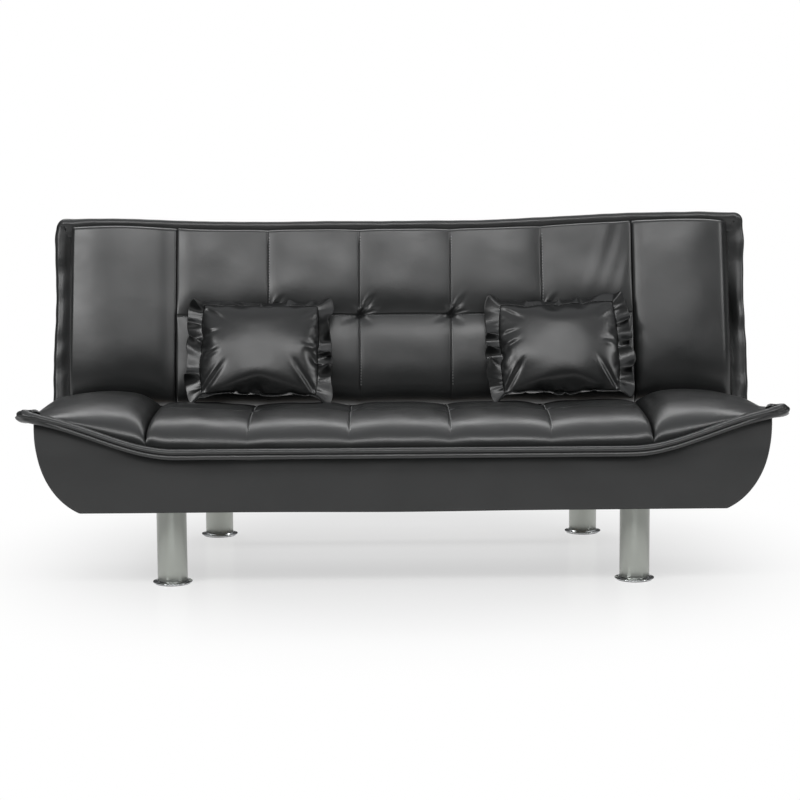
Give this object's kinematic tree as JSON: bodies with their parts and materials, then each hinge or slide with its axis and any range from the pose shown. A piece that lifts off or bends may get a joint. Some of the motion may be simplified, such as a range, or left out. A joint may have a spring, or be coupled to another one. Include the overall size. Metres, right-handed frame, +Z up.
{
  "type": "futon sofa bed",
  "caption": "Click-clack sofa bed: quilted leatherette seat with raised ends, reclining back, tubular metal legs and frilled throw pillows.",
  "frame": {"origin": "middle of the footprint, on the floor", "axes": "+X to the sofa's right side as seen from the front, +Y from the seat's front edge to the back, +Z up"},
  "size_m": [1.83, 0.824, 0.8637],
  "materials": {
    "leatherette": "satin",
    "foam": "matte",
    "timber": "matte",
    "black_steel": "satin",
    "zinc_steel": "satin",
    "satin_steel": "satin",
    "chrome": "polished",
    "rubber": "matte",
    "webbing": "matte"
  },
  "bodies": {
    "base": {"seat_cover": "leatherette", "seat_foam": "foam", "seat_lip": "leatherette", "box_cover": "leatherette", "bottom_panel": "timber", "front_rail": "timber", "rear_rail": "timber", "centre_rail": "timber", "hinge_rail_left": "timber", "end_former_left": "timber", "hinge_rail_right": "timber", "end_former_right": "timber", "seat_springs": "black_steel", "front_cross_tube": "black_steel", "rear_cross_tube": "black_steel", "leg_front_left": "satin_steel", "foot_flange_front_left": "chrome", "foot_pad_front_left": "rubber", "leg_front_right": "satin_steel", "foot_flange_front_right": "chrome", "foot_pad_front_right": "rubber", "leg_rear_left": "satin_steel", "foot_flange_rear_left": "chrome", "foot_pad_rear_left": "rubber", "leg_rear_right": "satin_steel", "foot_flange_rear_right": "chrome", "foot_pad_rear_right": "rubber", "underframe_rail_left": "black_steel", "bumper_left": "rubber", "underframe_rail_right": "black_steel", "bumper_right": "rubber", "seat_arm_left": "zinc_steel", "pivot_bolt_left": "zinc_steel", "pivot_nut_left": "zinc_steel", "pawl_spring_left": "zinc_steel", "seat_arm_right": "zinc_steel", "pivot_bolt_right": "zinc_steel", "pivot_nut_right": "zinc_steel", "pawl_spring_right": "zinc_steel"},
    "backrest": {"back_arm_left": "zinc_steel", "back_arm_right": "zinc_steel", "back_front_cover": "leatherette", "back_foam": "foam", "back_rear_cover": "leatherette", "back_lip": "leatherette", "back_bottom_rail": "timber", "back_top_rail": "timber", "back_centre_stile": "timber", "back_hinge_stile_left": "timber", "back_end_stile_left": "timber", "back_hinge_stile_right": "timber", "back_end_stile_right": "timber", "back_webbing": "webbing"},
    "pillow_left": {"pillow_cover_left": "leatherette", "pillow_insert_left": "foam"},
    "pillow_right": {"pillow_cover_right": "leatherette", "pillow_insert_right": "foam"},
    "pawl_left": {"pawl_left": "zinc_steel"},
    "pawl_right": {"pawl_right": "zinc_steel"}
  },
  "joints": [
    {"name": "backrest_hinge", "type": "hinge", "parent": "base", "child": "backrest", "pos_m": [0, 0.115, 0.388], "axis": [-1, 0, 0], "range_deg": [-6, 72]},
    {"name": "pillow_left_lift", "type": "slide", "parent": "backrest", "child": "pillow_left", "axis": [0, -0.9511, 0.309], "range_m": [0, 0.3]},
    {"name": "pillow_right_lift", "type": "slide", "parent": "backrest", "child": "pillow_right", "axis": [0, -0.9511, 0.309], "range_m": [0, 0.3]},
    {"name": "pawl_left_pivot", "type": "hinge", "parent": "base", "child": "pawl_left", "pos_m": [-0.677, 0.071, 0.362], "axis": [1, 0, 0], "range_deg": [0, 18], "stiffness_Nm_per_rad": 0.2, "springref_deg": -8.59},
    {"name": "pawl_right_pivot", "type": "hinge", "parent": "base", "child": "pawl_right", "pos_m": [0.677, 0.071, 0.362], "axis": [1, 0, 0], "range_deg": [0, 18], "stiffness_Nm_per_rad": 0.2, "springref_deg": -8.59}
  ]
}
